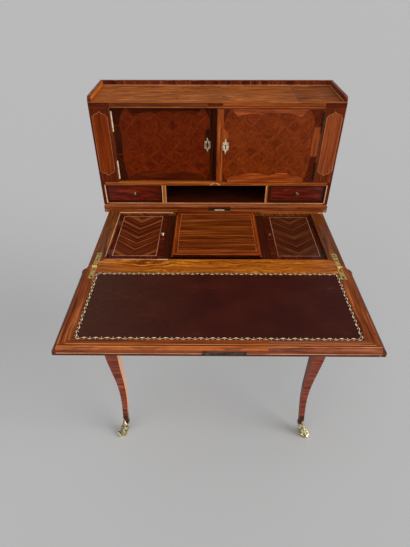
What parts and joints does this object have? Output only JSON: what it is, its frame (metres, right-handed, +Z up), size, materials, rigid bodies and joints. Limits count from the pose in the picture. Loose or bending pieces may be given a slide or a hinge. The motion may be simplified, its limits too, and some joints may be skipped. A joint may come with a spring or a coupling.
{
  "type": "writing desk",
  "caption": "Small writing desk on cabriole legs with a fold-out leather-lined flap, lidded wells, and a low cabinet with doors and drawers on top.",
  "frame": {"origin": "on the floor, under the middle of the desk with its flap open", "axes": "+Z up, +X to the sitter's right, +Y from the sitter towards the wall"},
  "size_m": [0.671, 0.732, 1.0556],
  "materials": {
    "kingwood": "French-polished kingwood veneer",
    "parquetry": "French-polished parquetry of kingwood, tulipwood and amaranth",
    "oak": "waxed oak",
    "gilt_bronze": "mercury-gilt bronze, rubbed",
    "brass": "aged polished brass",
    "iron": "dark forged iron",
    "leather": "dark burgundy calf with a gilt-tooled border"
  },
  "bodies": {
    "carcase": {"leg_front_left": "kingwood", "leg_front_right": "kingwood", "leg_back_left": "kingwood", "leg_back_right": "kingwood", "sabot_front_left": "gilt_bronze", "sabot_front_right": "gilt_bronze", "sabot_back_left": "gilt_bronze", "sabot_back_right": "gilt_bronze", "apron_front": "kingwood", "apron_back": "kingwood", "apron_left": "kingwood", "apron_right": "kingwood", "well_floor": "oak", "partition_left": "oak", "partition_right": "oak", "well_walls": "oak", "front_rail": "kingwood", "side_rail_left": "kingwood", "side_rail_right": "kingwood", "slab": "kingwood", "lock_strike": "brass", "lid_hinge_rail_leaves": "brass", "flap_hinge_case_leaves": "brass", "cabinet_bottom": "oak", "cabinet_back": "oak", "cabinet_dividers": "oak", "cabinet_shelf": "kingwood", "cabinet_top": "kingwood", "cabinet_side_left": "kingwood", "cabinet_side_right": "kingwood", "pilaster_left": "parquetry", "pilaster_right": "parquetry", "door_hinge_frame_leaves": "brass", "gallery": "kingwood"},
    "flap": {"flap_board": "kingwood", "leather_panel": "leather", "flap_lock": "brass", "flap_hinge_flap_leaves": "brass"},
    "door_left": {"door_left": "parquetry", "escutcheon_left": "brass", "door_hinge_leaves_left": "brass"},
    "door_right": {"door_right": "parquetry", "escutcheon_right": "brass", "door_lock": "iron", "door_hinge_leaves_right": "brass"},
    "lid_left": {"lid_left": "parquetry", "lid_knob_left": "brass", "lid_hinge_leaves_left": "brass"},
    "lid_right": {"lid_right": "parquetry", "lid_knob_right": "brass", "lid_hinge_leaves_right": "brass"},
    "panel": {"sliding_panel": "parquetry"},
    "loper_left": {"loper_left": "oak"},
    "loper_right": {"loper_right": "oak"},
    "drawer_left": {"drawer_front_left": "kingwood", "drawer_tray_left": "oak", "drawer_knob_left": "brass"},
    "drawer_right": {"drawer_front_right": "kingwood", "drawer_tray_right": "oak", "drawer_knob_right": "brass"}
  },
  "joints": [
    {"name": "flap_fold", "type": "hinge", "parent": "carcase", "child": "flap", "pos_m": [0, -0.101, 0.7353], "axis": [-1, 0, 0], "range_deg": [0, 180]},
    {"name": "door_left_swing", "type": "hinge", "parent": "carcase", "child": "door_left", "pos_m": [-0.27225, 0.1806, 0.9], "axis": [0, 0, -1], "range_deg": [0, 90]},
    {"name": "door_right_swing", "type": "hinge", "parent": "carcase", "child": "door_right", "pos_m": [0.27225, 0.1706, 0.9], "axis": [0, 0, 1], "range_deg": [0, 105]},
    {"name": "lid_left_lift", "type": "hinge", "parent": "carcase", "child": "lid_left", "pos_m": [-0.2777, 0, 0.7273], "axis": [0, 1, 0], "range_deg": [-90, 0]},
    {"name": "lid_right_lift", "type": "hinge", "parent": "carcase", "child": "lid_right", "pos_m": [0.2777, 0, 0.7273], "axis": [0, -1, 0], "range_deg": [-90, 0]},
    {"name": "panel_slide", "type": "slide", "parent": "carcase", "child": "panel", "axis": [0, 1, 0], "range_m": [-0.0165, 0.147]},
    {"name": "loper_left_slide", "type": "slide", "parent": "carcase", "child": "loper_left", "axis": [0, 1, 0], "range_m": [0, 0.21]},
    {"name": "loper_right_slide", "type": "slide", "parent": "carcase", "child": "loper_right", "axis": [0, 1, 0], "range_m": [0, 0.21]},
    {"name": "drawer_left_slide", "type": "slide", "parent": "carcase", "child": "drawer_left", "axis": [0, -1, 0], "range_m": [0, 0.105]},
    {"name": "drawer_right_slide", "type": "slide", "parent": "carcase", "child": "drawer_right", "axis": [0, -1, 0], "range_m": [0, 0.105]}
  ]
}
